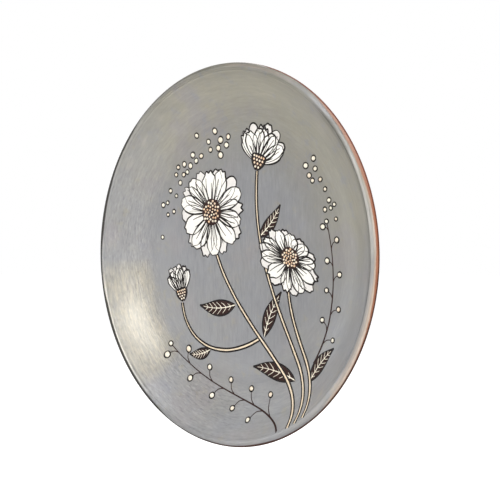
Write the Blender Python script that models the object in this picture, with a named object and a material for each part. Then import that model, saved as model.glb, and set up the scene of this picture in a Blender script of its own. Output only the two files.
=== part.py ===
"""Terracotta wall plate: a shallow thrown dish with a full-round rim and a foot ring behind it.

The plate hangs upright. Its hollow face looks along -Y, the wall is on the +Y side, and +Z is up.
The origin is at the top of the foot ring's flat back, where the plate touches the wall.
All sizes are in metres and all angles in degrees.
"""

import math

import bmesh
import bpy

# Driving dimensions
PLATE_DIAMETER = 0.300
FLOOR_DIAMETER = 0.196
HOLLOW_DEPTH = 0.0225
CLAY_THICKNESS = 0.007
FOOT_INSET = 0.0075
FOOT_WIDTH = 0.009
FOOT_HEIGHT = 0.008
FOOT_FILLET = 0.003
FOOT_CORNER = 0.001
HOLE_DIAMETER = 0.0035
HOLE_ANGLE_FROM_TOP = 22.0

# Finish of the bare clay
CLAY_COLOUR = (0.52, 0.22, 0.12, 1.0)
CLAY_ROUGHNESS = 0.85

# Fineness of the round shapes
TURNS_AROUND = 80
WALL_STEPS = 10
RIM_STEPS = 10
FILLET_STEPS = 3
CORNER_STEPS = 2
HOLE_SIDES = 16
SMOOTH_ANGLE = 40.0
MERGE_DISTANCE = 0.00001

# Radii and heights that follow, with heights measured forward from the wall
rim_radius = CLAY_THICKNESS / 2
floor_radius = FLOOR_DIAMETER / 2
floor_height = FOOT_HEIGHT + CLAY_THICKNESS
wall_reach = PLATE_DIAMETER / 2 - rim_radius - floor_radius
wall_slope = 2 * math.degrees(math.atan2(HOLLOW_DEPTH, wall_reach))
wall_curve = wall_reach / math.sin(math.radians(wall_slope)) - rim_radius
foot_outer = floor_radius - FOOT_INSET
foot_inner = foot_outer - FOOT_WIDTH
foot_middle = (foot_outer + foot_inner) / 2


def arc(centre, radius, start, end, steps):
    """Points of an arc in the profile's plane, both ends included."""
    points = []
    for step in range(steps + 1):
        angle = math.radians(start + (end - start) * step / steps)
        points.append((centre[0] + radius * math.cos(angle), centre[1] + radius * math.sin(angle)))
    return points


def plate_profile():
    """Half section as (radius, height), from the middle of the face round the rim to the back."""
    wall_centre = (floor_radius, floor_height + wall_curve)
    slope = math.radians(wall_slope)
    rim_centre = (
        floor_radius + (wall_curve + rim_radius) * math.sin(slope),
        wall_centre[1] - (wall_curve + rim_radius) * math.cos(slope),
    )
    fillet_height = FOOT_HEIGHT - FOOT_FILLET
    outer_curve = wall_curve + CLAY_THICKNESS
    stretches = [
        [(0.0, floor_height)],
        arc(wall_centre, wall_curve, -90, wall_slope - 90, WALL_STEPS),
        arc(rim_centre, rim_radius, wall_slope + 90, wall_slope - 90, RIM_STEPS)[1:],
        arc(wall_centre, outer_curve, wall_slope - 90, -90, WALL_STEPS)[1:],
        arc((foot_outer + FOOT_FILLET, fillet_height), FOOT_FILLET, 90, 180, FILLET_STEPS),
        arc((foot_outer - FOOT_CORNER, FOOT_CORNER), FOOT_CORNER, 0, -90, CORNER_STEPS),
        arc((foot_inner + FOOT_CORNER, FOOT_CORNER), FOOT_CORNER, -90, -180, CORNER_STEPS),
        arc((foot_inner - FOOT_FILLET, fillet_height), FOOT_FILLET, 0, 90, FILLET_STEPS),
        [(0.0, FOOT_HEIGHT)],
    ]
    return [point for stretch in stretches for point in stretch]


def turned_mesh(name, profile):
    """A closed mesh: the profile spun once around Z."""
    shape = bmesh.new()
    corners = [shape.verts.new((radius, 0.0, height)) for radius, height in profile]
    edges = [shape.edges.new(pair) for pair in zip(corners, corners[1:])]
    bmesh.ops.spin(
        shape,
        geom=corners + edges,
        cent=(0, 0, 0),
        axis=(0, 0, 1),
        angle=math.tau,
        steps=TURNS_AROUND,
        use_merge=True,
    )
    bmesh.ops.remove_doubles(shape, verts=shape.verts, dist=MERGE_DISTANCE)
    bmesh.ops.recalc_face_normals(shape, faces=shape.faces)
    mesh = bpy.data.meshes.new(name)
    shape.to_mesh(mesh)
    shape.free()
    mesh.shade_smooth()
    mesh.set_sharp_from_angle(angle=math.radians(SMOOTH_ANGLE))
    return mesh


def clay_material():
    material = bpy.data.materials.new("terracotta")
    material.use_nodes = True
    shader = material.node_tree.nodes["Principled BSDF"]
    shader.inputs["Base Color"].default_value = CLAY_COLOUR
    shader.inputs["Roughness"].default_value = CLAY_ROUGHNESS
    shader.inputs["Metallic"].default_value = 0.0
    return material


def make_plate(axis_frame):
    """The dish, its turning axis along the frame's Z with the foot's back at height 0."""
    plate = bpy.data.objects.new("plate", turned_mesh("plate", plate_profile()))
    plate.data.materials.append(clay_material())
    plate.parent = axis_frame
    bpy.context.scene.collection.objects.link(plate)
    return plate


def drill_hanging_hole(plate, side):
    """Cuts a round hole through the foot ring, pointing at the plate's axis."""
    length = FOOT_WIDTH + 4 * FOOT_FILLET
    shape = bmesh.new()
    bmesh.ops.create_cone(
        shape,
        cap_ends=True,
        segments=HOLE_SIDES,
        radius1=HOLE_DIAMETER / 2,
        radius2=HOLE_DIAMETER / 2,
        depth=length,
    )
    name = "hanging_hole_" + ("right" if side > 0 else "left")
    mesh = bpy.data.meshes.new(name)
    shape.to_mesh(mesh)
    shape.free()
    drill = bpy.data.objects.new(name, mesh)
    turn = math.radians(side * HOLE_ANGLE_FROM_TOP)
    drill.location = (foot_middle * math.sin(turn), foot_middle * math.cos(turn), FOOT_HEIGHT / 2)
    drill.rotation_euler = (math.radians(-90), 0.0, -turn)
    drill.parent = plate.parent
    drill.hide_render = True
    drill.display_type = "WIRE"
    bpy.context.scene.collection.objects.link(drill)
    cut = plate.modifiers.new(name, "BOOLEAN")
    cut.operation = "DIFFERENCE"
    cut.solver = "EXACT"
    cut.object = drill


def build():
    for old in list(bpy.data.objects):
        bpy.data.objects.remove(old, do_unlink=True)
    # The plate's axis looks forward, so the frame's Z points along -Y and its Y points up.
    axis_frame = bpy.data.objects.new("plate_axis", None)
    axis_frame.location = (0.0, 0.0, -foot_middle)
    axis_frame.rotation_euler = (math.radians(90), 0.0, 0.0)
    bpy.context.scene.collection.objects.link(axis_frame)
    plate = make_plate(axis_frame)
    for side in (-1, 1):
        drill_hanging_hole(plate, side)


build()
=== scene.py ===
import math

import bpy
import numpy as np
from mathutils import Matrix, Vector


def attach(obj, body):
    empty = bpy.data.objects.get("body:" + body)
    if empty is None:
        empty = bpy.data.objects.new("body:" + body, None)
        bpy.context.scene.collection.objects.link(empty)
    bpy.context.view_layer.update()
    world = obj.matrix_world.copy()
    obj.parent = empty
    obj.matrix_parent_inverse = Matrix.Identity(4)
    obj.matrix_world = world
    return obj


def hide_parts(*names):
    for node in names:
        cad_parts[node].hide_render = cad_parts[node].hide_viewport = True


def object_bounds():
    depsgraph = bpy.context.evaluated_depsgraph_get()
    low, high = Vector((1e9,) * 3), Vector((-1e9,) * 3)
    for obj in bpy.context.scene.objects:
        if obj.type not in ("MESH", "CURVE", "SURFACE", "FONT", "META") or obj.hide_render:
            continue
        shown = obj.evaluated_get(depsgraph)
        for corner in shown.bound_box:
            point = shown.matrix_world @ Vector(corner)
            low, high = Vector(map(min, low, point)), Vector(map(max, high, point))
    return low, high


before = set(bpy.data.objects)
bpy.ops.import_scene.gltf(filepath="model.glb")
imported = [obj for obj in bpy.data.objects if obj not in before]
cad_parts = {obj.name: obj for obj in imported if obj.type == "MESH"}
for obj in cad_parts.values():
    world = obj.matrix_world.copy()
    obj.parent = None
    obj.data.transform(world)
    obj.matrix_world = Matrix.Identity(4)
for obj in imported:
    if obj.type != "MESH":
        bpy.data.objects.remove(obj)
cadLow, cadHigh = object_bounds()
print("frame loaded:", sorted(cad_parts))

# the plate hangs upright: its face looks along -Y, the wall is behind it and +Z is up
plateRadius = (cadHigh.x - cadLow.x) / 2
axisHeight = (cadHigh.z + cadLow.z) / 2
rimFront = -cadLow.y
rimMiddle = Vector((0, -rimFront, axisHeight))
millimetre = 0.001


# camera and lights

viewSizes = {
    "azimuth": 44.4,        # degrees to the right of the plate's axis
    "elevation": 0.9,       # degrees above the plate's middle
    "distance": 1.3,        # metres from the middle of the rim
    "lens": 120.0,          # millimetres
    "sensor": 36.0,
    "aimRight": 0.0188,     # metres by which the line of sight passes the middle of the rim
    "aimUp": 0.0039,
}
lightSizes = {
    # name: azimuth, elevation, distance, width, height, watts, colour
    "windowLeft": (-9, 14, 1.5, 0.5, 0.24, 3.0, (1.0, 0.955, 0.85)),
    "windowMiddle": (3, 20, 1.5, 0.5, 0.24, 5.8, (1.0, 0.955, 0.85)),
    "windowRight": (17, 24, 1.5, 0.5, 0.24, 3.4, (1.0, 0.955, 0.85)),
    "windowTop": (32, 31, 1.5, 0.5, 0.24, 3.0, (1.0, 0.955, 0.85)),
    "leftFill": (-60, 10, 1.8, 1.0, 1.0, 3.6, (0.96, 0.985, 1.0)),
    "rightWindow": (82, 8, 1.8, 1.0, 1.2, 18.0, (0.98, 0.985, 1.0)),
    "overhead": (20, 66, 1.8, 1.0, 0.8, 5.0, (0.99, 0.98, 0.97)),
    "backSoftbox": (200, 52, 1.8, 1.2, 1.2, 17.0, (1.0, 0.98, 0.96)),
}


def addObject(name, data):
    # a new object in the scene, at the origin and unturned
    made = bpy.data.objects.new(name, data)
    bpy.context.scene.collection.objects.link(made)
    return made


def directionFrom(azimuth, elevation):
    # unit vector towards a place that is azimuth degrees round from -Y and elevation degrees up
    a = math.radians(azimuth)
    e = math.radians(elevation)
    return Vector((math.sin(a) * math.cos(e), -math.cos(a) * math.cos(e), math.sin(e)))


def makeCamera():
    # looks from its own direction past the middle of the rim, a little to the right of it and above it
    back = directionFrom(viewSizes["azimuth"], viewSizes["elevation"])
    right = Vector((0, 0, 1)).cross(back).normalized()
    aim = rimMiddle + right * viewSizes["aimRight"] + back.cross(right) * viewSizes["aimUp"]
    camera = addObject("camera", bpy.data.cameras.new("camera"))
    camera.data.lens = viewSizes["lens"]
    camera.data.sensor_width = viewSizes["sensor"]
    camera.location = rimMiddle + back * viewSizes["distance"]
    camera.rotation_euler = (aim - camera.location).to_track_quat("-Z", "Y").to_euler()
    bpy.context.scene.camera = camera


def makeLights():
    # soft rectangles, each at its distance from the middle of the rim and turned to face it
    for name, (azimuth, elevation, distance, width, height, watts, colour) in lightSizes.items():
        light = bpy.data.lights.new(name, "AREA")
        light.shape = "RECTANGLE"
        light.size = width
        light.size_y = height
        light.energy = watts
        light.color = colour
        outward = directionFrom(azimuth, elevation)
        lamp = addObject(name, light)
        lamp.location = rimMiddle + outward * distance
        lamp.rotation_euler = outward.to_track_quat("Z", "Y").to_euler()


# shader maths

class Socket:
    # a node's output that can stand in a sum; each operator adds one Math node
    def __init__(self, board, output):
        self.board = board
        self.output = output

    def math(self, operation, first, second, clamp=False):
        settings = {"operation": operation, "use_clamp": clamp}
        return self.board.node("ShaderNodeMath", settings, {0: first, 1: second})

    def __add__(self, other):
        return self.math("ADD", self, other)

    def __radd__(self, other):
        return self.math("ADD", other, self)

    def __sub__(self, other):
        return self.math("SUBTRACT", self, other)

    def __rsub__(self, other):
        return self.math("SUBTRACT", other, self)

    def __mul__(self, other):
        return self.math("MULTIPLY", self, other)

    def __rmul__(self, other):
        return self.math("MULTIPLY", other, self)

    def clamped(self):
        return self.math("ADD", self, 0.0, True)

    def rising(self, low, high):
        # 0 below low, 1 above high and a smooth step between them
        settings = {"interpolation_type": "SMOOTHSTEP"}
        return self.board.node("ShaderNodeMapRange", settings, {0: self, 1: low, 2: high})

    def falling(self, low, high):
        return 1 - self.rising(low, high)

    def between(self, low, high, soft):
        # 1 from low to high and 0 outside, with a smooth step of half width soft at each end
        return self.rising(low - soft, low + soft) * self.falling(high - soft, high + soft)


class Board:
    # one node tree, with the few ways in which nodes are added to it
    def __init__(self, owner):
        owner.use_nodes = True
        self.owner = owner
        self.tree = owner.node_tree

    def node(self, kind, settings=None, inputs=None, output=0):
        # any node: its settings, then the values or links of its sockets
        made = self.tree.nodes.new(kind)
        for key, value in (settings or {}).items():
            setattr(made, key, value)
        for key, value in (inputs or {}).items():
            self.feed(made.inputs[key], value)
        return Socket(self, made.outputs[output])

    def feed(self, socket, value):
        # links another node's output, or sets a plain value; a colour is given as three numbers
        if isinstance(value, Socket):
            self.tree.links.new(value.output, socket)
        else:
            socket.default_value = (*value, 1.0) if socket.type == "RGBA" else value

    def fill(self, name, values):
        # feeds sockets of a node that the tree already has
        for key, value in values.items():
            self.feed(self.tree.nodes[name].inputs[key], value)

    def colours(self, share, first, second, how="MIX"):
        # share 0 gives the first colour and 1 the second
        settings = {"data_type": "RGBA", "blend_type": how}
        return self.node("ShaderNodeMix", settings, {0: share, 6: first, 7: second}, 2)

    def layered(self, colour, layers):
        # lays each next colour over what is under it, in its own share
        for share, over in layers:
            colour = self.colours(share, colour, over)
        return colour

    def toned(self, colour, tone):
        # the colour times one number
        grey = self.node("ShaderNodeCombineColor", None, {0: tone, 1: tone, 2: tone})
        return self.colours(1.0, colour, grey, "MULTIPLY")

    def vectors(self, operation, first, second=None, output=0):
        inputs = {0: first} if second is None else {0: first, 1: second}
        return self.node("ShaderNodeVectorMath", {"operation": operation}, inputs, output)

    def dot(self, first, second):
        return self.vectors("DOT_PRODUCT", first, second, "Value")

    def noise(self, place, scale, detail, roughness):
        # scale is the cells in a metre: one number, or a number for each axis
        if isinstance(scale, tuple):
            place = self.vectors("MULTIPLY", place, scale)
            scale = 1.0
        inputs = {"Vector": place, "Scale": scale, "Detail": detail, "Roughness": roughness}
        return self.node("ShaderNodeTexNoise", None, inputs)

    def attribute(self, name):
        return self.node("ShaderNodeAttribute", {"attribute_name": name}, None, "Fac")

    def bump(self, relief):
        # the normal of a surface that stands up by relief, in metres
        return self.node("ShaderNodeBump", None, {"Strength": 1.0, "Distance": 1.0, "Height": relief})


# room and floor

worldSizes = {
    "seen": 1.0,              # the plain white that the camera sees
    "dark": 0.12,             # light from the left and from behind
    "bright": 0.35,           # light from the right and the front
    "brightSide": 50.0,       # degrees round from the front
}
floorSizes = {
    "gap": 0.07,              # metres between the hanging plate and the floor
    "reach": 6.0,             # metres from the middle to the floor's edge
    "colour": (0.60, 0.60, 0.595),
    "roughness": 0.9,
    "lift": 0.95,             # how much of its paleness is the room's own brightness
}


def makeWorld():
    # plain white to the camera; what lights the plate is brighter on one side than on the other
    bpy.context.scene.world = bpy.data.worlds.new("softRoom")
    board = Board(bpy.context.scene.world)
    toSky = board.node("ShaderNodeTexCoord", output="Generated")
    facing = board.dot(toSky, tuple(directionFrom(worldSizes["brightSide"], 0)))
    around = worldSizes["dark"] + facing.rising(-0.1, 1.0) * (worldSizes["bright"] - worldSizes["dark"])
    seen = board.node("ShaderNodeLightPath", output="Is Camera Ray")
    strength = seen * worldSizes["seen"] + (1 - seen) * around
    board.fill("Background", {"Color": (1.0, 1.0, 1.0), "Strength": strength})


def makeFloor():
    # a flat square under the plate, as white to the camera as the room
    board = Board(bpy.data.materials.new("paleFloor"))
    seen = board.node("ShaderNodeLightPath", output="Is Camera Ray")
    board.fill("Principled BSDF", {
        "Base Color": floorSizes["colour"],
        "Roughness": floorSizes["roughness"],
        "Emission Color": board.colours(seen, (0.0, 0.0, 0.0), (1.0, 1.0, 1.0)),
        "Emission Strength": floorSizes["lift"],
    })
    height = cadLow.z - floorSizes["gap"]
    reach = floorSizes["reach"]
    corners = [(x * reach, y * reach, height) for x, y in ((-1, -1), (1, -1), (1, 1), (-1, 1))]
    mesh = bpy.data.meshes.new("floor")
    mesh.from_pydata(corners, [], [(0, 1, 2, 3)])
    mesh.materials.append(board.owner)
    floor = addObject("floor", mesh)


makeCamera()
makeLights()
makeWorld()
makeFloor()
bpy.context.scene.view_settings.view_transform = "Standard"
print("camera, lights and floor made")


# meshes

def unit(angle):
    # unit vectors at angles in radians: their cosine and sine
    return np.stack([np.cos(angle), np.sin(angle)], axis=-1)


def leftOf(axis):
    # the same vectors, turned a quarter to the left
    return np.stack([-axis[..., 1], axis[..., 0]], axis=-1)


def alongPath(path):
    # unit vectors along each path: the differences between its points, over their length
    along = np.gradient(path, axis=-2)
    return along / np.maximum(np.linalg.norm(along, axis=-1, keepdims=True), 1e-9)


def ringFaces(rows, columns):
    # faces over closed rings and the two poles that are counted after them: quads, then a fan at each pole
    index = np.arange(rows * columns).reshape(rows, columns)
    after = np.roll(index, -1, axis=1)
    quads = np.stack([index[:-1], after[:-1], after[1:], index[1:]], axis=-1).reshape(-1, 4)
    pole = np.full(columns, index.size)
    fans = [np.stack([pole, after[0], index[0]], axis=1), np.stack([pole + 1, index[-1], after[-1]], axis=1)]
    return quads, np.concatenate(fans)


def addPiece(name, points, quads, triangles, material, values):
    # puts whole arrays of corners and faces into one mesh; values holds one number a corner by name
    mesh = bpy.data.meshes.new(name)
    mesh.vertices.add(len(points))
    mesh.vertices.foreach_set("co", points.astype(np.float32).ravel())
    mesh.loops.add(quads.size + triangles.size)
    corners = np.concatenate([quads.ravel(), triangles.ravel()])
    mesh.loops.foreach_set("vertex_index", corners.astype(np.int32))
    starts = np.concatenate([np.arange(len(quads)) * 4, quads.size + np.arange(len(triangles)) * 3])
    mesh.polygons.add(len(starts))
    mesh.polygons.foreach_set("loop_start", starts.astype(np.int32))
    for key, numbers in values.items():
        mesh.attributes.new(key, "FLOAT", "POINT").data.foreach_set("value", numbers.astype(np.float32))
    mesh.update()
    mesh.validate()
    mesh.shade_smooth()
    mesh.materials.append(material)
    return addObject(name, mesh)


# the turned plate

plateSizes = {
    "floorRadius": 0.098,
    "clayThickness": 0.007,
    "footInset": 0.0075,
    "footWidth": 0.009,
    "footHeight": 0.008,
    "footFillet": 0.003,
    "footCorner": 0.001,
    "holeDiameter": 0.0035,
    "holeAngle": 22.0,        # degrees from the top to each hanging hole
    "holeSides": 24,
    "holeTurn": -900.0,       # a place round the rim so far back that a hole's wall is bare clay
    "warp": 0.0004,           # how far the rim wanders back, as thrown clay does in the kiln
    "swell": 0.00016,         # half the height of the face's hand-smoothed hollows and swells
    "swellShort": 0.021,      # their shortest and longest wave
    "swellLong": 0.060,
    "swellCount": 14,
    "swellSeed": 11,
    "swellEnd": 0.008,        # metres before the rim over which they fade out
    "ringDepth": 0.00027,     # depth of the grooves that the turning tool left on the back
    "ringPitch": 0.0046,
    "ringCount": 200,         # grooves after which their depths repeat, more than the back has
    "ringSeed": 5,
    "creaseDepth": 0.00028,   # depth of the crease where the rolled lip meets the wall
    "creasePlace": 138.0,     # its place and half its width in degrees round the rim
    "creaseWidth": 12.0,
    "creaseRun": 0.0006,      # half its width in metres, for the paint that crosses it
    "nearRim": 0.05,          # radians of the wall's arc beside the rim where its points lie closer
    "around": 288,            # corners in each ring
}

floorRadius = plateSizes["floorRadius"]
clayThickness = plateSizes["clayThickness"]
rimRadius = clayThickness / 2
floorHeight = plateSizes["footHeight"] + clayThickness
wallReach = plateRadius - rimRadius - floorRadius
wallSlope = 2 * math.atan2(rimFront - floorHeight, wallReach)
wallCurve = wallReach / math.sin(wallSlope) - rimRadius
wallCentre = (floorRadius, floorHeight + wallCurve)
rimCentre = (plateRadius - rimRadius, rimFront - rimRadius)
wallEnd = floorRadius + wallCurve * math.sin(wallSlope)
footOuter = floorRadius - plateSizes["footInset"]
footInner = footOuter - plateSizes["footWidth"]


def warpAt(place):
    # a saddle that grows with the square of the radius, always backwards
    turn = np.arctan2(place[..., 1], place[..., 0])
    share = (place ** 2).sum(axis=-1) / plateRadius ** 2
    return -plateSizes["warp"] * share * (0.5 + 0.3 * np.sin(2 * turn + 0.7) + 0.2 * np.sin(3 * turn + 2.0))


def swellWaves(count):
    # wave numbers and phases of the waves that make up the swell: any direction, lengths in even ratios
    draw = np.random.default_rng(plateSizes["swellSeed"])
    way = unit(draw.uniform(0, math.pi, count))
    length = np.geomspace(plateSizes["swellShort"], plateSizes["swellLong"], count)
    return (way * 2 * math.pi / length[:, None]).T, draw.uniform(0, 6.3, count)


waveNumbers, wavePhases = swellWaves(plateSizes["swellCount"])


def swellAt(place):
    # the mean of sine waves that cross the face in many directions, always backwards, gone before the rim
    height = np.sin(place @ waveNumbers + wavePhases).sum(axis=-1) / math.sqrt(len(wavePhases))
    radius = np.linalg.norm(place, axis=-1)
    fade = np.clip((wallEnd - radius) / plateSizes["swellEnd"], 0, 1)
    return plateSizes["swell"] * (np.clip(height, -2, 2) / 2 - 1) * fade * fade * (3 - 2 * fade)


def arcRun(centre, radius, start, end, count):
    # points on a circle about centre: radius times the cosine and sine of evenly stepped angles
    return np.array(centre) + radius * unit(np.linspace(start, end, count))


def levelRun(start, end, height, count):
    # evenly stepped radii at one height
    return np.stack([np.linspace(start, end, count), np.full(count, height)], axis=1)


def plateSection():
    # half section as rows of radius and height above the wall, from the middle of the face round to the
    # middle of the back; each stretch ends with its count of points, closest at the rim and its crease
    fillet = plateSizes["footFillet"]
    corner = plateSizes["footCorner"]
    foot = plateSizes["footHeight"]
    quarter = math.pi / 2
    nearRim = wallSlope - quarter - plateSizes["nearRim"]
    stretches = [
        levelRun(0, floorRadius, floorHeight, 27),
        arcRun(wallCentre, wallCurve, -quarter, nearRim, 38)[1:],
        arcRun(wallCentre, wallCurve, nearRim, wallSlope - quarter, 11)[1:],
        arcRun(rimCentre, rimRadius, wallSlope + quarter, wallSlope - quarter, 42)[1:],
        arcRun(wallCentre, wallCurve + clayThickness, wallSlope - quarter, -quarter, 74)[1:],
        levelRun(floorRadius, footOuter + fillet, foot, 5)[1:-1],
        arcRun((footOuter + fillet, foot - fillet), fillet, quarter, 2 * quarter, 9),
        arcRun((footOuter - corner, corner), corner, 0, -quarter, 6),
        arcRun((footInner + corner, corner), corner, -quarter, -2 * quarter, 6),
        arcRun((footInner - fillet, foot - fillet), fillet, 0, quarter, 9),
        levelRun(footInner - fillet, 0, foot, 104)[1:],
    ]
    return np.concatenate(stretches)


def rimTurnAlong(section, run):
    # degrees round the rim, forward of its outermost line; it goes on evenly over the face and the back
    outermost = run[np.argmin(np.hypot(section[:, 0] - plateRadius, section[:, 1] - rimCentre[1]))]
    return np.degrees((outermost - run) / rimRadius)


def turningGrooves(section, run, rimTurn, turn):
    # depth of the tool's grooves, 0 on a ridge and up to 1: the bent size of a sine along the section, with a
    # depth of its own for each groove, a slow wander round the plate, and none on the face and the foot
    wander = 0.10 * np.sin(turn + 0.8) + 0.04 * np.sin(3 * turn + 2.1)
    place = run[:, None] / plateSizes["ringPitch"] + wander
    draw = np.random.default_rng(plateSizes["ringSeed"])
    depths = draw.choice([0.25, 0.45, 0.6, 0.8, 1.0], plateSizes["ringCount"])
    offsets = draw.uniform(0, 6.3, plateSizes["ringCount"])
    ring = np.floor(place).astype(int) % plateSizes["ringCount"]
    uneven = 0.78 + 0.22 * np.sin(turn + offsets[ring])
    backOnly = np.clip((-rimTurn - 90) / 200, 0, 1) * (section[:, 1] > plateSizes["footHeight"] * 0.99)
    middle = np.clip(section[:, 0] / 0.006, 0, 1)
    return np.abs(np.sin(math.pi * place)) ** 1.2 * depths[ring] * uneven * (backOnly * middle)[:, None]


def turnedSurface(section, around):
    # spins the section round the axis: x is radius times cosine, z is radius times sine, y is minus height
    steps = np.diff(section, axis=0)
    run = np.concatenate([[0], np.cumsum(np.hypot(steps[:, 0], steps[:, 1]))])
    outward = leftOf(alongPath(section))
    rimTurn = rimTurnAlong(section, run)
    turn = np.arange(around) * 2 * math.pi / around
    groove = turningGrooves(section, run, rimTurn, turn)
    crease = np.exp(-((rimTurn - plateSizes["creasePlace"]) / plateSizes["creaseWidth"]) ** 2)
    cut = groove * plateSizes["ringDepth"] + crease[:, None] * plateSizes["creaseDepth"]
    radius = section[:, 0, None] - outward[:, 0, None] * cut
    height = section[:, 1, None] - outward[:, 1, None] * cut
    place = radius[..., None] * unit(turn)
    face = (rimTurn > 90)[:, None]
    height = height + warpAt(place) * np.clip(height / floorHeight, 0, 1) + swellAt(place) * face
    points = np.stack([place[..., 0], -height, axisHeight + place[..., 1]], axis=-1)
    quads, fans = ringFaces(len(section) - 2, around)
    poles = [points[0].mean(axis=0), points[-1].mean(axis=0)]
    points = np.concatenate([points[1:-1].reshape(-1, 3), poles])
    turns = np.concatenate([np.repeat(rimTurn[1:-1], around), [rimTurn[0], rimTurn[-1]]])
    grooves = np.concatenate([groove[1:-1].ravel(), [0.0, 0.0]])
    return points, quads, fans, {"rimTurn": turns, "groove": grooves}


def drillHoles(plate):
    # cuts the two hanging holes through the foot ring, each pointing at the plate's axis
    sides = plateSizes["holeSides"]
    length = plateSizes["footWidth"] + 4 * plateSizes["footFillet"]
    ring = unit(np.arange(sides) * 2 * math.pi / sides) * plateSizes["holeDiameter"] / 2
    quads, fans = ringFaces(2, sides)
    values = {"rimTurn": np.full(2 * sides + 2, plateSizes["holeTurn"]), "groove": np.zeros(2 * sides + 2)}
    for side in (-1, 1):
        lean = math.radians(side * plateSizes["holeAngle"])
        outward = np.array([math.sin(lean), 0, math.cos(lean)])
        around = np.array([[math.cos(lean), 0, -math.sin(lean)], [0, 1.0, 0]])
        middle = np.array([0, -plateSizes["footHeight"] / 2, axisHeight])
        middle = middle + outward * (footOuter + footInner) / 2
        ends = middle + outward * np.array([[-length], [length]]) / 2
        points = np.concatenate([ends[0] + ring @ around, ends[1] + ring @ around, ends])
        drill = addPiece("drill", points, quads, fans, plate.active_material, values)
        drill.data.shade_flat()
        cut = plate.modifiers.new("drill", "BOOLEAN")
        cut.operation = "DIFFERENCE"
        cut.solver = "EXACT"
        cut.object = drill
        bpy.context.view_layer.update()
        evaluated = plate.evaluated_get(bpy.context.evaluated_depsgraph_get())
        solid = bpy.data.meshes.new_from_object(evaluated)
        plate.modifiers.clear()
        plate.data = solid
        bpy.data.objects.remove(drill)


# the plate's paint and clay

groundSizes = {
    "coolGrey": (0.268, 0.277, 0.309),
    "warmGrey": (0.319, 0.309, 0.267),
    "violetGrey": (0.288, 0.279, 0.305),
    "strawGrey": (0.345, 0.320, 0.250),
    "blueGrey": (0.262, 0.272, 0.318),
    "creamGrey": (0.470, 0.435, 0.350),
    "lipGrey": (0.428, 0.425, 0.434),
    # cream lip: at the lower right a painted glint, the pale floor's reflection on the lip
    "creamLipAndGlint": (0.640, 0.480, 0.345),
    # bluish lip: a painted reflection of cool light on the lip at the upper right
    "skyLip": (0.430, 0.450, 0.500),
    "roseLip": (0.520, 0.440, 0.415),
    "middleTone": 0.895,      # how much darker the middle of the floor is
    "wallTone": 1.04,
    "outerTone": 0.05,        # what is added to it beside the rim
    "floorTopShade": 1.45,        # painted shade and light: how much the floor darkens for each metre towards its top, and pales towards its bottom
    "lipShare": 0.32,         # how much of the pale lip colour lies on the rim's right side
    "creaseShade": 0.22,       # painted shade: how much darker the crease at the rim's foot is
    "crestDark": 0.36,        # how much darker the rim's crest is at the upper right
    "outerShade": 0.62,        # painted shade: how much darker the rim's outer half is at the upper and lower left
    "strokeTone": 0.34,       # strength of the brush strokes in the colour, on the floor
    "wallStrokeTone": 0.30,   # what is added to it on the wall
    "broadTone": 0.16,        # strength of the broad strokes
    "scuffTone": 0.10,        # how much paler the scuffs are
    "strokeRelief": 0.00034,  # metres from the foot to the crest of a brush stroke
    "scratchSide": 212.0,     # direction of the wall's fine scratches, degrees from the right upwards
    "scratchTone": 0.19,
    "scratchRelief": 0.00008,
    "shineRoughness": 0.42,
    "coatRoughness": 0.31,
    "coatIor": 1.62,
}
strokeRings = {
    # marks along rings: noise cells round the plate, lines a metre outwards, detail and roughness
    "stroke": (8.0, 520.0, 2.5, 0.55),
    "bristle": (12.8, 1150.0, 2.0, 0.6),
    "nick": (46.0, 1150.0, 2.0, 0.6),
    "broad": (8.0, 150.0, 3.0, 0.6),
    "scratch": (26.0, 900.0, 1.5, 0.5),
    "drag": (7.0, 620.0, 3.0, 0.65),   # where the tool dragged grit through the clay
}
groundPatches = (
    # where the ground is darker or paler: its direction and half its width in degrees, the radii
    # between which it lies, what it adds to the tone, and for some the share of a colour mixed in; some are
    # painted shade or highlight
    (90, 85, 0.072, 0.104, -0.08),
    (268, 55, 0.096, 0.122, -0.15),
    (262, 75, 0.131, 0.150, 0.10),
    # painted highlight: cream under the lacquer's highlight on the lower left of the wall
    (206, 25, 0.110, 0.146, -0.07, 0.76, "creamGrey"),
    (328, 50, 0.040, 0.140, -0.06),
    (244, 26, 0.116, 0.150, -0.06),
    (66, 26, 0.124, 0.143, 0.06),
    # painted shade: a dark band on the wall just inside the lip at the right
    (18, 36, 0.1382, 0.1440, -0.38),
)
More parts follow.
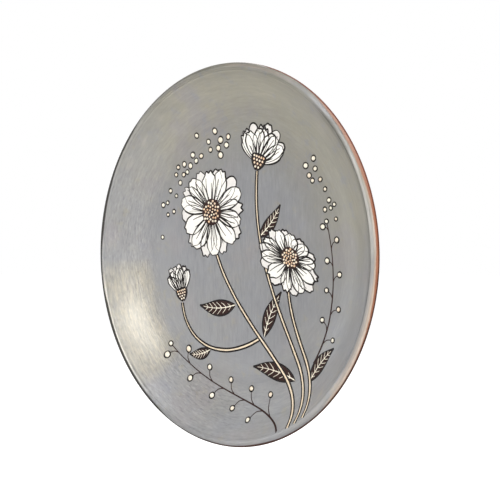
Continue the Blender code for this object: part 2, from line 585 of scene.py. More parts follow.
rimPatches = (
    # the same on the rim, with degrees round it in place of the radii
    # painted shade in the crease where the lip meets the wall: this line and the next two
    (14, 40, 112, 158, -0.46),
    (36, 14, 98, 140, -0.20),
    (342, 22, 104, 148, -0.28),
    (342, 20, 76, 108, -0.30),
    (344, 20, 40, 84, -0.12),
    (350, 14, 26, 60, -0.22),
    # painted glint: the pale floor's reflection on the lip at the lower right, this line and the next two
    (336, 26, 2, 54, 0.10, 0.55, "creamLipAndGlint"),
    (334, 14, 24, 52, 0.14),
    (335, 20, 50, 96, 0.0, 0.25, "creamLipAndGlint"),
    (312, 22, 18, 62, -0.16),
    (8, 30, 22, 56, 0.04, 0.35, "creamLipAndGlint"),
    # painted glint: a paler band along the lip's inner side at the right
    (8, 34, 72, 106, 0.07, 0.40, "lipGrey"),
    (7, 10, 60, 100, -0.10),
    # painted glint on the lip at the upper right
    (20, 13, 76, 100, 0.32),
    (27, 20, 44, 96, -0.26),
    (40, 16, 56, 90, 0.16, 0.40, "skyLip"),
    (55, 14, 58, 84, -0.02, 0.50, "skyLip"),
    (76, 16, 54, 84, 0.02, 0.40, "roseLip"),
    (88, 22, 60, 92, -0.10),
    (94, 40, 98, 138, -0.12),
    (148, 22, 106, 134, 0.10),
    # painted highlight: a bright line on the lip's inner curve at the lower left
    (210, 24, 110, 127, 0.85),
    # painted shade in the crease at the lower left
    (209, 24, 138, 162, -0.30),
    (243, 26, 30, 135, -0.14),
)
mattLip = (26, 28, 40, 92)    # a rubbed stretch of the lip, given the same way
mattShare = 0.75              # how much of its lacquer is gone
clayFinish = {
    "plain": (0.436, 0.188, 0.110),
    "dark": (0.300, 0.104, 0.054),
    "pale": (0.590, 0.300, 0.190),
    "edge": (0.78, 0.72, 0.68),   # painted shade: what the clay's colour is multiplied by towards the rim
    "bloom": (0.640, 0.470, 0.385),
    "rubbed": (0.560, 0.290, 0.190),
    "haze": (0.460, 0.370, 0.335),
    "wash": (0.285, 0.275, 0.262),
    "bandPitch": 170.0,       # bands a metre in which the back's clay is darker or paler
    "bandTone": 0.24,
    "bloomShare": 0.30,       # how strong the pale salt bloom on the back is
    "grooveShare": 0.26,      # how much darker the turning tool's grooves are, and how much paler the ridges
    "dragDark": 0.24,         # how strong the dragged lines are, dark and pale
    "dragPale": 0.22,
    "dragRelief": 0.00009,
    "footBandShare": 0.45,        # how much darker the clay is beside the foot
    "footBandOuter": 0.101,       # the radii between which it lies
    "footBandInner": 0.070,
    "wornFrom": 0.0022,       # metres from the wall at which the foot begins to be rubbed pale,
    "wornFull": 0.0006,       # and at which it is so all over
    "grainRelief": 0.00005,
    "gritRelief": 0.00004,
    "hazeShare": 0.45,        # how much of the clay a haze of grey hides at the upper right
    "washReach": 95.0,        # degrees that dabs of thin grey run back over the rim at the left
    "washWander": 260.0,
    "washShare": 0.55,
}
paintEdge = {
    # degrees forward of the rim's outermost line where the paint stops: a middle, three waves round the plate
    # with their directions, and bumps with their direction, half width and the degrees that they add
    "middle": 9.0,
    "waves": ((22.0, -3.0), (5.5, 26.2), (3.8, 37.5)),
    "bumps": ((36, 18, 8.0), (13, 14, -5.0), (62, 16, -7.0), (336, 18, -5.0)),
    "wobble": 14.0,
    "wobbleFine": 8.0,
    "fade": 13.0,             # degrees over which the paint thins out
}
outlineShade = {
    # a thin dark line round the rim, painted shade where the rim turns away from the lights: its place in
    # degrees round the rim, with bumps as above
    "middle": 38.0,
    "sway": 42.0,             # how much further back it lies at the right, and further forward at the left
    "bumps": ((217, 26, 21.0), (190, 40, 9.0), (105, 34, -30.0), (147, 34, 18.0), (264, 44, 5.0),
              (274, 18, 7.0), (308, 36, 7.0)),
    "soft": 16.0,
    "width": 54.0,
    "strength": 0.95,
    "strengthSway": 0.04,     # darker towards the lower right, weaker at the upper left
    "colour": (0.022, 0.019, 0.018),
    "clayColour": (0.150, 0.026, 0.005),   # its colour at the right, where it lies on bare clay
    "lowestColour": (0.045, 0.010, 0.003),
}


class PlateBoard(Board):
    # a board that knows where a point of the plate lies: its place from the axis, its radius, its direction
    # and its degrees round the rim
    def __init__(self, owner):
        super().__init__(owner)
        place = self.node("ShaderNodeTexCoord", output="Object")
        middle = {"Vector": place, "Location": (0, 0, -axisHeight)}
        self.fromAxis = self.node("ShaderNodeMapping", None, middle)
        flat = self.vectors("MULTIPLY", self.fromAxis, (1.0, 0.0, 1.0))
        self.radius = self.vectors("LENGTH", flat, output="Value")
        self.direction = self.vectors("NORMALIZE", flat)
        self.rimTurn = self.attribute("rimTurn")

    def facing(self, towards, place=None):
        # cosine of the angle to a direction, given in degrees from the plate's right side upwards
        angle = math.radians(towards)
        return self.dot(place or self.direction, (math.cos(angle), 0.0, math.sin(angle)))

    def within(self, towards, spread):
        # 1 over the inner half of a sector and 0 past spread degrees from its middle
        side = math.cos(math.radians(spread))
        return self.facing(towards).rising(side, (1 + side) / 2)

    def patch(self, towards, spread, near, far, place):
        # a sector between two radii or two places round the rim, with a smooth step at each side
        return self.within(towards, spread) * place.between(near, far, (far - near) / 4)

    def ringNoise(self, mark):
        # noise that changes slowly round the plate and fast with the radius, so that it draws rings
        around, pitch, detail, roughness = strokeRings[mark]
        turn = self.vectors("MULTIPLY", self.direction, (around, 0.0, around))
        outwards = self.node("ShaderNodeCombineXYZ", None, {1: self.radius * pitch})
        return self.noise(self.vectors("ADD", turn, outwards), 1.0, detail, roughness)


def addPatches(board, patches, place, ground, tone, brushed=1.0):
    # each patch adds to the tone, and some lay a colour of their own over the ground
    for towards, spread, near, far, toneChange, *mixed in patches:
        share = board.patch(towards, spread, near, far, place)
        tone = tone + share * toneChange
        if mixed:
            strength, colour = mixed
            ground = board.colours(share * (brushed * strength), ground, groundSizes[colour])
    return ground, tone


def strokesOn(board):
    # long strokes that follow the rim on the wall, and upright ones over the middle of the floor
    ring = board.ringNoise("stroke") * 0.46 + board.ringNoise("bristle") * 0.32
    ring = ring + board.ringNoise("nick") * 0.22
    upright = board.noise(board.fromAxis, (560.0, 90.0, 90.0), 2.5, 0.55)
    atWall = board.radius.rising(0.060, 0.104)
    return ring * atWall + upright * (1 - atWall), board.ringNoise("broad")


def scratchesOn(board):
    # fine scratches that follow the rim on one side of the wall: 1 on a pale one, -1 on a dark one, else 0
    scratch = board.ringNoise("scratch")
    marks = scratch.rising(0.56, 0.68) - scratch.falling(0.32, 0.44)
    oneSide = board.facing(groundSizes["scratchSide"]).rising(-0.2, 0.95)
    return marks * board.radius.rising(0.092, 0.120) * oneSide


def groundColour(board, stroke, broad, scratch):
    # grey ground: cool in the middle, warm at the top and lower right, patched where two greys were mixed,
    # with painted shade on the floor towards its top
    radius = board.radius
    patches = board.noise(board.fromAxis, 30.0, 3.0, 0.55)
    wander = board.noise(board.fromAxis, 14.0, 3.0, 0.6)
    flecks = board.noise(board.fromAxis, 95.0, 3.0, 0.65)
    scuff = board.noise(board.fromAxis, (160.0, 30.0, 60.0), 4.0, 0.7)
    upwards = board.facing(70).rising(0.0, 0.85)
    leftwards = board.facing(180).rising(0.0, 0.9)
    warmth = radius.rising(0.05, 0.12) * (0.18 + upwards * 0.82) + (wander - 0.5) * 1.3
    scumble = broad.rising(0.46, 0.66) * stroke.rising(0.42, 0.62) * radius.rising(0.075, 0.115)
    ground = board.layered(groundSizes["coolGrey"], (
        (warmth.clamped(), groundSizes["warmGrey"]),
        (patches.rising(0.48, 0.70) * 0.7, groundSizes["violetGrey"]),
        (flecks.rising(0.58, 0.74) * 0.45, groundSizes["strawGrey"]),
        (flecks.falling(0.30, 0.44) * 0.6, groundSizes["blueGrey"]),
        (scumble * (0.08 + leftwards * 0.10), groundSizes["creamGrey"]),
    ))
    paler = groundSizes["wallTone"] - groundSizes["middleTone"]
    tone = groundSizes["middleTone"] + radius.rising(0.05, 0.13) * paler
    tone = tone + radius.rising(0.128, 0.142) * groundSizes["outerTone"]
    brushed = 0.35 + stroke.rising(0.35, 0.65) * 0.65
    ground, tone = addPatches(board, groundPatches, radius, ground, tone, brushed)
    strength = groundSizes["strokeTone"] + radius.rising(0.095, 0.135) * groundSizes["wallStrokeTone"]
    tone = tone + (stroke - 0.5) * strength + (broad - 0.5) * groundSizes["broadTone"]
    tone = tone + scratch * groundSizes["scratchTone"] + scuff.rising(0.62, 0.74) * groundSizes["scuffTone"]
    # painted shade and light: the floor darker towards its top and paler towards its bottom, as the hollow
    # shades it
    floorShadeTilt = board.facing(75, board.fromAxis) * radius.falling(0.108, 0.130)
    return ground, tone * (1 - floorShadeTilt * groundSizes["floorTopShade"])


def rimColour(board, ground, tone):
    # the rim: a paler lip at the right, painted shade in the crease at its foot, a crest that is
    # darker at the upper right, painted shade on its outer half at the left, and patches, some of them
    # painted glints and shade
    turn = board.rimTurn
    rightwards = board.facing(6)
    height = board.facing(90)
    lip = turn.rising(26.0, 44.0) * turn.falling(98.0, 116.0) * rightwards.rising(0.2, 0.95)
    ground = board.colours(lip * groundSizes["lipShare"], ground, groundSizes["lipGrey"])
    # painted shade in the crease at the lip's foot, deeper at the right
    crease = turn.between(130.0, 148.0, 7.0) * (0.55 + rightwards.rising(0.2, 0.8) * 0.45)
    crest = turn.rising(0.0, 20.0) * turn.falling(98.0, 132.0) * board.facing(80).rising(0.2, 0.9)
    # painted shade on the rim's outer half at the upper and lower left
    outerShading = turn.falling(66.0, 112.0) * height * height * board.facing(180).clamped()
    tone = tone - crease * groundSizes["creaseShade"]
    tone = tone - crest * groundSizes["crestDark"] - outerShading * groundSizes["outerShade"]
    return addPatches(board, rimPatches, turn, ground, tone)


def onTheBack(board, clay):
    # the turned back: dark grooves and pale ridges, dragged lines, salt bloom, a darker band beside the foot
    # and a rubbed foot; with them comes the relief of the dragged lines
    radius = board.radius
    fillet = plateSizes["footFillet"]
    corner = plateSizes["footCorner"]
    back = board.rimTurn.falling(-230.0, -110.0)
    groove = board.attribute("groove")
    drag = board.ringNoise("drag")
    bands = board.node("ShaderNodeCombineXYZ", None, {0: radius * clayFinish["bandPitch"]})
    tone = 0.90 + board.noise(bands, 1.0, 2.0, 0.5) * clayFinish["bandTone"]
    bloom = board.noise(board.fromAxis, 17.0, 5.0, 0.65).rising(0.50, 0.70)
    outside = radius.rising(footOuter - corner, footOuter + corner)
    outside = outside * radius.falling(footOuter + fillet, clayFinish["footBandOuter"])
    inside = radius.rising(clayFinish["footBandInner"], footInner - fillet)
    inside = inside * radius.falling(footInner - corner, footInner + corner)
    depth = board.node("ShaderNodeSeparateXYZ", None, {0: board.fromAxis}, 1)
    worn = depth.rising(-clayFinish["wornFrom"], -clayFinish["wornFull"]) * (0.25 + drag * 0.55)
    clay = board.layered(clay, (
        (back, board.toned(clay, tone)),
        (groove.rising(0.15, 0.85) * clayFinish["grooveShare"], clayFinish["dark"]),
        (groove.falling(0.0, 0.22) * back * clayFinish["grooveShare"], clayFinish["pale"]),
        (drag.rising(0.56, 0.72) * back * clayFinish["dragDark"], clayFinish["dark"]),
        (drag.falling(0.28, 0.44) * back * clayFinish["dragPale"], clayFinish["pale"]),
        (bloom * back * clayFinish["bloomShare"], clayFinish["bloom"]),
        ((outside + inside).clamped() * clayFinish["footBandShare"], clayFinish["dark"]),
        (worn, clayFinish["rubbed"]),
    ))
    return clay, drag * back * clayFinish["dragRelief"]


def clayColour(board):
    # bare terracotta: clouded, speckled with grog, darker towards the rim as painted shade; past the rim lie
    # dabs of thin grey that the brush left at the left, and a haze of it at the upper right
    grain = board.noise(board.fromAxis, 900.0, 3.0, 0.7)
    cloud = board.noise(board.fromAxis, 38.0, 4.0, 0.6)
    grit = board.noise(board.fromAxis, 420.0, 1.0, 0.4)
    clay = board.layered(clayFinish["plain"], (
        (cloud.rising(0.35, 0.75) * 0.55, clayFinish["pale"]),
        (grain.rising(0.56, 0.74) * 0.7, clayFinish["dark"]),
        (grit.rising(0.68, 0.74) * 0.6, clayFinish["pale"]),
    ))
    clay, dragRelief = onTheBack(board, clay)
    dabs = board.noise(board.direction, (9.0, 0.0, 9.0), 3.0, 0.6) - 0.5
    wash = (board.rimTurn + clayFinish["washReach"] + dabs * clayFinish["washWander"]).rising(0.0, 35.0)
    wash = wash * board.facing(180).rising(-0.5, 0.5) * clayFinish["washShare"] * (0.6 + grain * 0.6)
    haze = board.facing(66).rising(0.55, 0.98) * board.rimTurn.rising(-75.0, -30.0)
    clay = board.layered(clay, (
        # painted shade: the clay darker towards the rim's edge
        (board.rimTurn.rising(-130.0, -50.0), board.colours(1.0, clay, clayFinish["edge"], "MULTIPLY")),
        (wash.clamped(), clayFinish["wash"]),
        (haze * clayFinish["hazeShare"], clayFinish["haze"]),
    ))
    relief = grain * clayFinish["grainRelief"] + grit * clayFinish["gritRelief"] + dragRelief
    return clay, grain, relief


def withBumps(board, place, bumps):
    # adds to a place round the rim a smooth bump in each of some directions
    for towards, spread, size in bumps:
        place = place + board.within(towards, spread) * size
    return place


def edgeTurn(board):
    # where the paint stops, in degrees round the rim: the middle plus each wave times a cosine of the angle
    across = board.node("ShaderNodeSeparateXYZ", None, {0: board.direction})
    up = board.node("ShaderNodeSeparateXYZ", None, {0: board.direction}, 2)
    angle = board.node("ShaderNodeMath", {"operation": "ARCTAN2"}, {0: up, 1: across})
    edge = paintEdge["middle"]
    for count, (size, towards) in enumerate(paintEdge["waves"], 1):
        turned = (angle - math.radians(towards)) * count
        edge = edge + board.node("ShaderNodeMath", {"operation": "COSINE"}, {0: turned}) * size
    ripple = board.noise(board.direction, (16.0, 0.0, 16.0), 3.0, 0.6)
    return withBumps(board, edge + (ripple - 0.5) * paintEdge["wobble"], paintEdge["bumps"])


def shadeLine(board):
    # how much the dark line of painted shade hides, and its colour: a soft band whose place and strength sway
    # round the plate
    rightwards = board.facing(0)
    lowerRight = board.facing(-45)
    place = withBumps(board, outlineShade["middle"] - rightwards * outlineShade["sway"], outlineShade["bumps"])
    offset = board.rimTurn - place
    soft = outlineShade["soft"]
    band = offset.falling(0.0, soft) * offset.rising(-outlineShade["width"], soft - outlineShade["width"])
    share = band * (outlineShade["strength"] + lowerRight * outlineShade["strengthSway"])
    return share.clamped(), board.layered(outlineShade["colour"], (
        (rightwards.rising(-0.3, 0.5), outlineShade["clayColour"]),
        (lowerRight.rising(0.5, 0.95) * 0.9, outlineShade["lowestColour"]),
    ))


def platePaint():
    # grey ground under satin lacquer on the face, bare clay past the edge of the paint, and the dark line of
    # painted shade on both; the clay, the line and a rubbed stretch of the lip are matt
    board = PlateBoard(bpy.data.materials.new("paintedTerracotta"))
    stroke, broad = strokesOn(board)
    scratch = scratchesOn(board)
    ground, tone = rimColour(board, *groundColour(board, stroke, broad, scratch))
    clay, grain, clayRelief = clayColour(board)
    line, lineColour = shadeLine(board)
    fine = board.noise(board.fromAxis, 700.0, 2.0, 0.6) - 0.5
    reach = board.rimTurn - edgeTurn(board) + fine * paintEdge["wobbleFine"]
    painted = reach.rising(-3.0, paintEdge["fade"])
    relief = (stroke + broad * 0.7) * groundSizes["strokeRelief"] + scratch * groundSizes["scratchRelief"]
    satin = painted * (1 - line)
    shine = groundSizes["shineRoughness"] + (stroke - 0.5) * 0.25
    lacquer = 1 - board.patch(*mattLip, board.rimTurn) * mattShare
    board.fill("Principled BSDF", {
        "Base Color": board.layered(clay, ((painted, board.toned(ground, tone)), (line, lineColour))),
        "Roughness": satin * shine + (1 - satin) * (0.84 + grain * 0.1),
        "Coat Weight": satin * lacquer * (0.9 + (stroke - 0.5) * 0.6),
        "Coat Roughness": groundSizes["coatRoughness"],
        "Coat IOR": groundSizes["coatIor"],
        "Normal": board.bump(painted * relief + (1 - painted) * clayRelief),
    })
    return board.owner


def makePlate():
    points, quads, triangles, values = turnedSurface(plateSection(), plateSizes["around"])
    plate = addPiece("plate_body", points, quads, triangles, platePaint(), values)
    drillHoles(plate)
    plate.data.set_sharp_from_angle(angle=math.radians(50))
    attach(plate, "root")
    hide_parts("plate")


makePlate()
print("plate made")


# the painting: thin films of paint on the face, drawn in millimetres right of and above the plate's axis

paintSizes = {
    "sunk": 0.05,             # how far a film's underside lies below the lacquer
    "penLine": 1.38,
    "penFine": 0.95,
    "leafLift": 0.04,
    "dotLift": 0.05,
    "stemLift": 0.10,
    "backLift": 0.17,
    "frontLift": 0.26,
    "domeLift": 0.36,
    "lineAbove": 0.045,       # a pen line stands this much over the colour that it edges
    "crown": 0.03,            # and its middle this much over its edges
    "seed": 7,
}
paintShades = {
    # light shade, dark shade, roughness
    "white": ((0.97, 0.965, 0.955), (0.66, 0.64, 0.67), 0.48),
    "ink": ((0.007, 0.004, 0.005), (0.014, 0.009, 0.009), 0.62),
    "gold": ((0.97, 0.93, 0.82), (0.76, 0.44, 0.23), 0.36),
    "brown": ((0.026, 0.007, 0.006), (0.050, 0.017, 0.013), 0.60),
    "cream": ((0.90, 0.77, 0.60), (0.64, 0.44, 0.30), 0.46),
}
hand = np.random.default_rng(paintSizes["seed"])
films = {paint: [] for paint in paintShades}


def onDish(place, lift):
    # the face above a place: flat floor, then the wall's arc, then the rim's arc; lift goes along the normal
    place = place * millimetre
    lift = lift * millimetre
    radius = np.linalg.norm(place, axis=-1)
    lean = np.arcsin(np.clip((radius - floorRadius) / wallCurve, 0, math.sin(wallSlope)))
    height = floorHeight + wallCurve * (1 - np.cos(lean))
    share = np.clip((radius - rimCentre[0]) / rimRadius, -1, 1)
    lean = np.where(radius > wallEnd, -np.arcsin(share), lean)
    height = np.where(radius > wallEnd, rimCentre[1] + rimRadius * np.sqrt(1 - share ** 2), height)
    crease = plateSizes["creaseDepth"] * np.exp(-((radius - wallEnd) / plateSizes["creaseRun"]) ** 2)
    forward = height + warpAt(place) + swellAt(place) - crease + np.cos(lean) * lift
    place = place * (1 - np.sin(lean) * lift / np.maximum(radius, 1e-9))[..., None]
    return np.stack([place[..., 0], -forward, axisHeight + place[..., 1]], axis=-1)


def addShapes(paint, points, quads, triangles, tones):
    # many copies of one set of faces, each over its own row of points
    starts = (np.arange(len(points)) * points.shape[1])[:, None, None]
    faces = (quads + starts).reshape(-1, 4), (triangles + starts).reshape(-1, 3)
    films[paint].append((points.reshape(-1, 3), *faces, tones.ravel()))


def addFilms(paint, place, lift, tone=0.0):
    # each grid becomes a thin closed film: the grid, the same grid sunk under the lacquer, and a border strip
    place = place.reshape(-1, *place.shape[-3:])
    count, rows, columns = place.shape[:3]
    tone = np.broadcast_to(tone, place.shape[:3])
    across = place[:, 1, -1] - place[:, 1, 0]
    up = place[:, -1, 1] - place[:, 0, 1]
    mirrored = (leftOf(across) * up).sum(axis=-1) > 0
    place = np.where(mirrored[:, None, None, None], place[:, :, ::-1], place)
    top = onDish(place, lift).reshape(count, -1, 3)
    under = onDish(place, -paintSizes["sunk"]).reshape(count, -1, 3)
    grid = np.arange(rows * columns).reshape(rows, columns)
    face = np.stack([grid[:-1, :-1], grid[1:, :-1], grid[1:, 1:], grid[:-1, 1:]], axis=-1).reshape(-1, 4)
    border = np.concatenate([grid[0, :-1], grid[:-1, -1], grid[-1, :0:-1], grid[:0:-1, 0]])
    after = np.roll(border, -1)
    strip = np.stack([border, after, after + grid.size, border + grid.size], axis=-1)
    quads = np.concatenate([face, face[:, ::-1] + grid.size, strip])
    tones = np.tile(tone.reshape(count, 1, -1), (1, 2, 1))
    addShapes(paint, np.concatenate([top, under], axis=1), quads, np.zeros((0, 3), int), tones)


def addLines(paint, path, width, lift):
    # carries a flat crowned strip of the given width along each path
    across = np.array([-1, -0.5, 0.5, 1])
    offset = (np.broadcast_to(width, path.shape[:-1])[..., None] / 2 * across)[..., None]
    place = path[..., None, :] + leftOf(alongPath(path))[..., None, :] * offset
    addFilms(paint, place, lift + paintSizes["crown"] * (1 - across ** 4))


def addDots(paint, centres, radius, height, lift, tone=0.0, sides=14, rings=4):
    # each dot is a quarter turn of a cosine dome: ring radius is a sine and its height a cosine
    count = len(centres)
    radius = np.broadcast_to(radius, count)[:, None, None]
    height = np.broadcast_to(height, count)
    quarter = (np.arange(1, rings + 1) * math.pi / 2 / rings)[:, None]
    turn = np.arange(sides) * 2 * math.pi / sides
    wobble = 1 + 0.05 * np.sin(2 * turn + hand.uniform(0, 6, count)[:, None, None])
    place = centres[:, None, None] + (radius * np.sin(quarter) * wobble)[..., None] * unit(turn)
    dome = onDish(place, lift + height[:, None, None] * np.cos(quarter)).reshape(count, -1, 3)
    skirt = onDish(place[:, -1], -paintSizes["sunk"])
    peak = onDish(centres, lift + height)[:, None]
    root = onDish(centres, -paintSizes["sunk"])[:, None]
    points = np.concatenate([dome, skirt, peak, root], axis=1)
    quads, fans = ringFaces(rings + 1, sides)
    tones = np.repeat(np.broadcast_to(tone, count), points.shape[1])
    addShapes(paint, points, quads[:, (0, 3, 2, 1)], fans[:, (0, 2, 1)], tones)


def curve(points, count):
    # cubic Bezier through its two ends, pulled towards the two points between
    t = np.linspace(0, 1, count)[:, None]
    a, b, c, d = (np.array(point, float) for point in points)
    return (1 - t) ** 3 * a + 3 * (1 - t) ** 2 * t * b + 3 * (1 - t) * t ** 2 * c + t ** 3 * d


def tilted(place, centre, direction, share):
    # squeezes a drawing about its centre to share of its size along the direction, in degrees
    axis = unit(math.radians(direction))
    return place - ((place - centre) @ axis * (1 - share))[..., None] * axis


petalSizes = {
    "tip": 0.24,              # how much shorter a petal is at its edges than in its middle
    "notch": 0.09,            # the deepest notch in a tip; this and the next four are shares of a petal
    "root": 0.38,             # its width at the heart
    "widest": 0.62,           # where along it the petal is widest
    "narrow": 0.16,           # how much it narrows from there to the tip
    "veinPlace": 0.36,        # where across it a vein lies
    "turn": 0.03,             # radians by which one petal's direction wanders
    "bend": 0.05,
    "crossing": 0.018,        # how much higher a petal lies than the neighbour that it crosses
}


def petalPlace(petal, s, w):
    # s runs from the heart to the tip and w from edge to edge; the tip is round with a shallow notch
    widest = petalSizes["widest"]
    tip = petalSizes["tip"] * (1 - np.sqrt(1 - 0.97 * w ** 2)) * s ** 3
    notch = petal["notch"] * s ** 8 * (0.5 + 0.5 * np.cos(2.6 * math.pi * w))
    along = petal["inner"] + petal["length"] * s * (1 - tip - notch)
    swell = petalSizes["root"] + (1 - petalSizes["root"]) * np.sin(math.pi / 2 * np.minimum(s / widest, 1))
    narrow = 1 - petalSizes["narrow"] * np.clip((s - widest) / (1 - widest), 0, 1) ** 2
    lateral = petal["half"] * w * swell * narrow + petal["bend"] * petal["length"] * s ** 2
    axis = unit(petal["angle"])
    place = petal["centre"] + along[..., None] * axis + lateral[..., None] * leftOf(axis)
    return tilted(place, petal["centre"], petal["facing"], petal["share"])


def petalRow(flower, count, start, spread, length, lift, tone):
    # one ring or fan of petals: white fill, pen outline and two fine veins on each
    angle = np.radians(start + (np.arange(count) + 0.5) * spread / count)
    angle = angle + hand.normal(0, petalSizes["turn"], count)
    far = np.cos(angle - math.radians(flower["facing"])) * (1 - flower["share"])
    each = {
        "angle": angle,
        "length": length * (1 - 0.3 * far) * hand.uniform(0.93, 1.05, count),
        "half": flower["half"] * hand.uniform(0.9, 1.08, count),
        "bend": hand.normal(0, petalSizes["bend"], count),
        "notch": hand.uniform(0.0, petalSizes["notch"], count),
    }
    petal = {**flower, **{key: value[:, None, None] for key, value in each.items()}}
    s = np.linspace(0, 1, 18)[:, None]
    w = np.linspace(-1, 1, 9)
    layer = lift + petalSizes["crossing"] * (np.arange(count) % 3)[:, None, None]
    addFilms("white", petalPlace(petal, s, w), layer, tone + 0.40 * (1 - s) ** 4 + 0.06 * w ** 2)
    lineLift = lift + paintSizes["lineAbove"] + 2 * petalSizes["crossing"]
    up = np.linspace(0, 1, 26)
    sideS = np.concatenate([up, np.ones(15), up[::-1]])[:, None]
    sideW = np.concatenate([-np.ones(26), np.linspace(-1, 1, 17)[1:-1], np.ones(26)])[:, None]
    outline = petalPlace(petal, sideS, sideW)[:, :, 0]
    press = 0.72 + 0.28 * np.sin(np.linspace(0, 9, len(sideS)) + hand.uniform(0, 6, count)[:, None])
    addLines("ink", outline, paintSizes["penLine"] * press, lineLift)
    for place in (-petalSizes["veinPlace"], petalSizes["veinPlace"]):
        veinS = 0.03 + np.linspace(0, 1, 16)[:, None] * hand.uniform(0.45, 0.86, count)[:, None, None]
        veinW = place + hand.normal(0, 0.05, count)[:, None, None]
        vein = petalPlace(petal, veinS, veinW)[:, :, 0]
        addLines("ink", vein, paintSizes["penFine"] * np.linspace(1.1, 0.5, 16), lineLift)


def heart(centre, radius, facing, share, count):
    # the flower's middle: a dark mound set with gold dots on a golden-angle spiral, and a fringe of ink dots
    def laid(angle, reach):
        return tilted(centre + unit(angle) * reach[..., None], centre, facing, share)

    lift = paintSizes["domeLift"]
    k = np.arange(count)
    reach = radius * 0.93 * np.sqrt((k + 0.5) / count)
    rows = np.linspace(0.02, 1, 7)[:, None]
    disc = laid(np.linspace(0, 2 * math.pi, 49), rows * radius * 1.1)
    addFilms("brown", disc, lift + 0.35 * np.cos(rows * math.pi / 2))
    dots = laid(k * math.pi * (3 - math.sqrt(5)), reach)
    size = radius * 0.93 / math.sqrt(count) * (0.50 + 0.16 * reach / radius)
    addDots("gold", dots, size, 0.45, lift + 0.3, hand.uniform(0, 1, count), 10, 3)
    fringe = int(count * 0.6)
    turn = np.arange(fringe) * 2 * math.pi / fringe + hand.normal(0, 0.05, fringe)
    addDots("ink", laid(turn, radius * hand.uniform(1.12, 1.42, fringe)), 0.42, 0.15, lift, 0.0, 8, 2)


def openFlower(centre, radius, facing, share, petals, start):
    # a daisy-like flower: a back ring of petals, a front ring over it, and the heart; share is how much of
    # its height is seen, squeezed along the way that it faces
    centre = np.array(centre, float)
    inner = radius * 0.2
    length = radius - inner
    half = radius * 0.62 * math.sin(math.pi / petals) * 1.08
    flower = {"centre": centre, "facing": facing, "share": share, "inner": inner, "half": half}
    petalRow(flower, petals, start + 180 / petals, 360, length * 1.02, paintSizes["backLift"], 0.55)
    petalRow(flower, petals, start, 360, length * 0.97, paintSizes["frontLift"], 0.0)
    middle = centre + radius * 0.22 * (1 - share) * unit(math.radians(facing))
    heart(middle, radius * 0.27, facing, min(1.0, share + 0.12), 34)


def halfFlower(centre, direction, length, spread, petals):
    # a flower seen from the side: two fans of petals rising out of a small brown cup
    centre = np.array(centre, float)
    start = direction - spread / 2
    half = length * math.sin(math.radians(spread / petals)) * 0.62
    flower = {"centre": centre, "facing": direction, "share": 1.0, "inner": length * 0.12, "half": half}
    step = spread / petals
    behind = (petals - 1, start + step / 2, spread - step, length * 0.9)
    petalRow(flower, *behind, paintSizes["backLift"], 0.6)
    petalRow(flower, petals, start, spread, length * 0.8, paintSizes["frontLift"], 0.0)
    cup(centre, direction, length * 0.42, length * 0.24)


def cup(centre, direction, length, half):
    # the cup under a side-on flower: a brown bowl whose width is a bent sine, with four rows of gold dots
    def widthAt(s):
        return half * np.sin(math.pi / 2 * np.minimum(s * 1.25, 1)) ** 0.7

    lift = paintSizes["domeLift"]
    axis = unit(math.radians(direction))
    side = leftOf(axis)
    base = centre - axis * length * 0.45
    s = np.linspace(0.02, 1, 14)[:, None]
    w = np.linspace(-1, 1, 9)
    crest = s * length * (1 - 0.12 * w ** 2 * s)
    place = base + crest[..., None] * axis + (widthAt(s) * w)[..., None] * side
    addFilms("brown", place, lift)
    border = np.concatenate([place[:, 0], place[-1, 1:], place[-2::-1, -1]])
    addLines("ink", border, paintSizes["penLine"], lift + paintSizes["lineAbove"])
    dots = []
    for row in range(4):
        along = 0.20 + 0.21 * row
        for step in range(row + 2):
            across = (step - (row + 1) / 2) / (row + 2) * 1.75
            dots.append(base + axis * along * length + side * across * widthAt(along))
    addDots("gold", np.array(dots), half * 0.13, 0.35, lift + 0.02, hand.uniform(0, 1, len(dots)), 10, 3)


def stem(points, width=2.9):
    # a slim stem along a curve: cream fill between two pen lines
    path = curve(points, 90)
    side = leftOf(alongPath(path))
    size = width * np.linspace(1.1, 0.8, 90)
    lift = paintSizes["stemLift"]
    addLines("cream", path, size, lift)
    for edge in (-0.5, 0.5):
        shaky = size * edge + 0.06 * np.sin(np.linspace(0, 31, 90) + hand.uniform(0, 6))
        addLines("ink", path + side * shaky[:, None], paintSizes["penLine"], lift + paintSizes["lineAbove"])


def leaf(base, direction, length, half, bend):
    # a lance-shaped leaf: brown fill, pen outline, and a gold rib with side veins
    s = np.linspace(0.0, 1, 40)
    ahead = unit(math.radians(direction) + bend * s)
    side = leftOf(ahead)
    middle = base + np.concatenate([[[0, 0]], np.cumsum(ahead[:-1] * length / 39, axis=0)])
    wide = half * np.sin(math.pi * s ** 0.8) ** 1.15 + 0.12
    place = middle[:, None] + side[:, None] * (wide[:, None] * np.linspace(-1, 1, 7))[..., None]
    line = paintSizes["leafLift"] + paintSizes["lineAbove"]
    addFilms("brown", place, paintSizes["leafLift"])
    addLines("ink", np.concatenate([place[:, 0], place[::-1, -1]]), paintSizes["penLine"] * 0.9, line)
    addLines("gold", middle[:36], np.linspace(0.95, 0.4, 36), line + 0.01)
    t = np.linspace(0, 1, 10)[:, None]
    for k in range(5, 31, 5):
        for turn in (-1, 1):
            reach = wide[k] * 0.78
            vein = middle[k] + turn * side[k] * reach * t + ahead[k] * reach * 1.1 * t ** 1.4
            addLines("gold", vein, np.linspace(0.6, 0.3, 10), line + 0.01)


def ringedDots(places, sizes, lift=paintSizes["dotLift"]):
    # relief-paint dots: a flat ring of ink with a domed gold dot on it
    places = np.array(places, float)
    sizes = np.array(sizes, float)
    addDots("ink", places, sizes + 0.95, 0.05, lift, 0.0, 16, 2)
    addDots("gold", places, sizes * 0.95, sizes * 0.36, lift + 0.05, hand.uniform(-0.2, 0.3, len(places)))


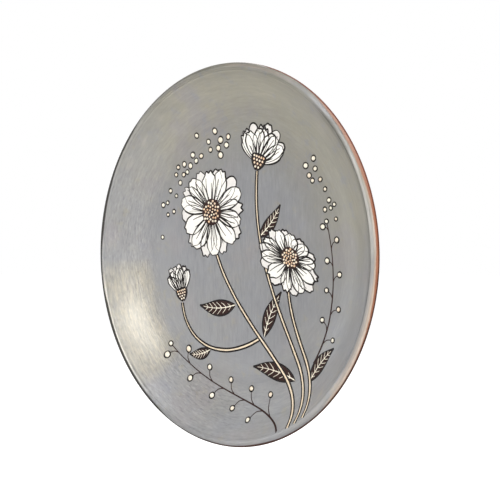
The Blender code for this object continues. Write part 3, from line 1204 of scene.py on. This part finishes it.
def berrySprig(points, count, reach, size):
    # a thin twig with short stalks to either side, each ending in a ringed dot
    path = curve(points, 70)
    along = alongPath(path)
    lift = paintSizes["stemLift"]
    addLines("brown", path, np.linspace(1.5, 0.7, 70), lift)
    ends = [path[-1]]
    for k, place in enumerate(np.linspace(0.16, 0.95, count)):
        at = int(place * 69)
        side = leftOf(along[at]) * (1 if k % 2 else -1)
        far = reach * (1 - 0.45 * place) * hand.uniform(0.85, 1.15)
        end = path[at] + side * far + along[at] * far * 0.9
        pull = path[at] + along[at] * far * 0.6 + side * far * 0.25
        addLines("brown", curve([path[at], pull, pull, end], 18), np.linspace(0.8, 0.6, 18), lift + 0.02)
        ends.append(end)
    sizes = np.linspace(size, size * 0.72, len(ends)) * hand.uniform(0.92, 1.08, len(ends))
    ringedDots(ends, sizes[::-1], lift + 0.06)


def dotDrift(start, end, radius, width, count, large, small):
    # dots scattered about an arc round the plate's axis, thinning out towards its end
    places = []
    sizes = []
    for s in np.sort(hand.uniform(0, 1, count)) ** 1.15:
        for attempt in range(40):
            angle = math.radians(start + (end - start) * min(1.0, max(0.0, s + hand.normal(0, 0.02))))
            place = (radius + hand.normal(0, width) * (1 - 0.5 * s)) * unit(angle)
            size = (large + (small - large) * s) * hand.uniform(0.8, 1.15)
            gaps = [np.hypot(*(place - other)) - size - old for other, old in zip(places, sizes)]
            if min(gaps, default=9) > 1.5:
                places.append(place)
                sizes.append(size)
                break
    ringedDots(places, sizes)


def paintSpray():
    # the whole spray rises from the lower right edge of the plate and leans to the upper left
    stem([(64, -130), (50, -84), (-16, -52), (-36, 10)])
    stem([(79, -121), (72, -86), (48, -62), (45, -24)], 2.8)
    stem([(71, -126), (64, -74), (4, -24), (12, 66)], 2.7)
    stem([(14, -66), (-28, -88), (-68, -74), (-72, -40)], 2.5)
    berrySprig([(52, -134), (18, -112), (-34, -116), (-84, -74)], 10, 13, 2.3)
    berrySprig([(72, -82), (92, -52), (96, -14), (84, 26)], 8, 9, 1.9)
    leaf((53, -96), 160, 46, 6.6, 0.35)
    leaf((70, -96), 62, 36, 5.6, -0.5)
    leaf((20, -64), 76, 40, 6.0, -0.45)
    leaf((-12, -40), 196, 40, 6.2, -0.5)
    leaf((14, 14), 34, 34, 5.0, 0.5)
    leaf((-40, -77), 208, 24, 4.2, -0.6)
    openFlower((-38, 34), 36, 90, 1.0, 10, 7)
    openFlower((46, -4), 33, 58, 0.68, 10, 20)
    halfFlower((13, 72), 72, 31, 132, 7)
    halfFlower((-72, -34), 106, 25, 74, 5)
    dotDrift(100, 172, 98, 6.0, 26, 2.2, 1.2)
    dotDrift(50, 16, 95, 4.0, 12, 1.9, 1.2)


def filmPaint(paint):
    # one paint of the spray: two shades mixed by the film's own tone and by brush-sized noise
    board = Board(bpy.data.materials.new(paint + "Paint"))
    place = board.node("ShaderNodeTexCoord", output="Object")
    streak = board.noise(place, 420.0, 3.0, 0.6)
    pool = board.noise(place, 150.0, 2.0, 0.5)
    tone = board.attribute("tone") * 0.8 + (streak - 0.5) * 0.5 + (pool - 0.5) * 0.4 + 0.05
    light, dark, roughness = paintShades[paint]
    board.fill("Principled BSDF", {
        "Base Color": board.colours(tone.clamped(), light, dark),
        "Roughness": roughness + (streak - 0.5) * 0.2,
        "Specular IOR Level": 0.3,
        "Coat Weight": 0.15,
        "Coat Roughness": 0.35,
        "Normal": board.bump(streak * 0.00002),
    })
    return board.owner


def makeFilms():
    # joins each paint's films into one piece: their corners end to end, their faces counted on to match
    paintSpray()
    for paint, parts in films.items():
        points, quads, triangles, tones = zip(*parts)
        starts = np.cumsum([0] + [len(part) for part in points])
        quads = np.concatenate([part + start for part, start in zip(quads, starts)])
        triangles = np.concatenate([part + start for part, start in zip(triangles, starts)])
        values = {"tone": np.concatenate(tones)}
        name = "painted_" + paint
        piece = addPiece(name, np.concatenate(points), quads, triangles, filmPaint(paint), values)
        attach(piece, "root")
        print(name, len(piece.data.polygons), "faces")


makeFilms()
print("painting made")
